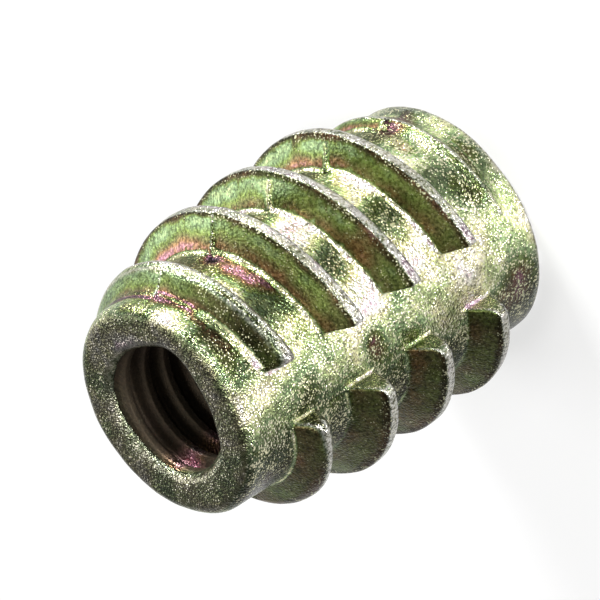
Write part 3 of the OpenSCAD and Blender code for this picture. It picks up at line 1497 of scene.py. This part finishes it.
def direction(azimuth: float, elevation: float) -> Vector:
    """Points from the insert toward something seen at an azimuth and an elevation.

    Args:
        azimuth: Angle from +X, in degrees.
        elevation: Angle above the floor, in degrees.

    Returns:
        A vector of length 1.
    """
    turn, rise = math.radians(azimuth), math.radians(elevation)
    level = math.cos(rise)
    return Vector((level * math.cos(turn), level * math.sin(turn), math.sin(rise)))


@dataclass(frozen=True)
class Viewpoint:
    """Where the camera stands; angles are in degrees and lengths in millimetres."""

    azimuth: float = -59.0
    elevation: float = 34.68
    roll: float = -124.48
    distance: float = 284.4
    aim: tuple[float, float, float] = (2.342, -2.781, 9.812)
    lens: float = 480.0
    clip: tuple[float, float] = (10.0, 10000.0)

    def build(self) -> None:
        """Adds the camera and makes it the scene's own."""
        turn, roll = math.radians(self.azimuth), math.radians(self.roll)
        back = direction(self.azimuth, self.elevation)
        level = Vector((-math.sin(turn), math.cos(turn), 0.0))
        above = back.cross(level)
        right = math.cos(roll) * level + math.sin(roll) * above
        camera = bpy.data.objects.new("camera", bpy.data.cameras.new("camera"))
        camera.data.lens = self.lens
        camera.data.clip_start, camera.data.clip_end = (limit * MM for limit in self.clip)
        matrix = Matrix((right, back.cross(right), back)).transposed().to_4x4()
        matrix.translation = (Vector(self.aim) + back * self.distance) * MM
        camera.matrix_world = matrix
        bpy.context.scene.collection.objects.link(camera)
        bpy.context.scene.camera = camera


@dataclass(frozen=True)
class Lamp:
    """A square soft lamp that faces the insert; angles are in degrees, lengths in metres."""

    name: str
    azimuth: float
    elevation: float
    distance: float
    size: float
    power: float
    aim_height: float = 0.0075

    def build(self) -> None:
        """Adds the lamp."""
        away = direction(self.azimuth, self.elevation)
        data = bpy.data.lights.new(self.name, "AREA")
        data.size = self.size
        data.energy = self.power
        lamp = bpy.data.objects.new(self.name, data)
        lamp.location = away * self.distance + Vector((0.0, 0.0, self.aim_height))
        lamp.rotation_mode = "QUATERNION"
        lamp.rotation_quaternion = away.to_track_quat("Z", "Y")
        bpy.context.scene.collection.objects.link(lamp)


@dataclass(frozen=True)
class Studio:
    """A pale floor, a dim world with a pale horizon and a few soft lamps."""

    floor_size: float = 4.0
    floor_colour: Colour = (0.9, 0.9, 0.9, 1.0)
    floor_roughness: float = 0.9
    floor_glow: float = 0.6
    white: Colour = (1.0, 1.0, 1.0, 1.0)
    zenith: float = 0.22
    horizon: float = 0.6
    haze_top: float = 0.5
    lamps: tuple[Lamp, ...] = (
        Lamp("key", 21.0, 14.0, 0.3, 0.08, 1.3),
        Lamp("side", -74.0, 12.0, 0.3, 0.06, 0.9),
        Lamp("back", 84.0, 40.0, 0.35, 0.20, 0.45),
        Lamp("top", -59.0, 78.0, 0.4, 0.16, 0.5),
    )

    def floor_material(self) -> bpy.types.Material:
        """Makes a floor that glows for the camera and in reflections, and takes a shadow.

        Returns:
            The floor's material.
        """
        material = bpy.data.materials.new("floor")
        material.use_nodes = True
        sheet = Sheet(material.node_tree)
        shader = material.node_tree.nodes["Principled BSDF"]
        shader.inputs["Base Color"].default_value = self.floor_colour
        shader.inputs["Roughness"].default_value = self.floor_roughness
        glow = sheet.put("Emission", {"Color": self.white, "Strength": 1.0})
        rays = sheet.put("LightPath")
        seen = sheet.maths("MAXIMUM", rays.outputs["Is Camera Ray"], rays.outputs["Is Glossy Ray"])
        seen = sheet.maths("MAXIMUM", seen, rays.outputs["Is Transmission Ray"])
        share = sheet.maths("MULTIPLY", seen, self.floor_glow)
        mixed = sheet.put("MixShader", {0: share, 1: shader.outputs[0], 2: glow.outputs[0]})
        output = next(n for n in material.node_tree.nodes if n.type == "OUTPUT_MATERIAL")
        material.node_tree.links.new(mixed.outputs[0], output.inputs["Surface"])
        return material

    def floor(self) -> None:
        """Adds the floor."""
        half = self.floor_size / 2
        corners = [(-half, -half, 0), (half, -half, 0), (half, half, 0), (-half, half, 0)]
        mesh = bpy.data.meshes.new("floor")
        mesh.from_pydata(corners, [], [(0, 1, 2, 3)])
        mesh.materials.append(self.floor_material())
        floor = bpy.data.objects.new("floor", mesh)
        bpy.context.scene.collection.objects.link(floor)

    def world(self) -> None:
        """Sets a sky that is pale at the horizon and dim above."""
        world = bpy.data.worlds.new("studio")
        bpy.context.scene.world = world
        world.use_nodes = True
        sheet = Sheet(world.node_tree)
        up = sheet.put("SeparateXYZ", {0: sheet.put("TexCoord").outputs["Generated"]}).outputs["Z"]
        level = sheet.graded(up, 0.0, self.haze_top, self.horizon, self.zenith)
        background = next(n for n in world.node_tree.nodes if n.type == "BACKGROUND")
        background.inputs["Strength"].default_value = 1.0
        world.node_tree.links.new(level, background.inputs["Color"])

    def build(self) -> None:
        """Adds the floor, the world and the lamps."""
        self.floor()
        self.world()
        for lamp in self.lamps:
            lamp.build()
        bpy.context.scene.view_settings.view_transform = "Standard"


def main() -> None:
    """Builds the insert, the studio and the camera."""
    logging.basicConfig(level=logging.INFO, format="%(message)s")
    Insert().build()
    Studio().build()
    Viewpoint().build()


if __name__ == "__main__":
    main()
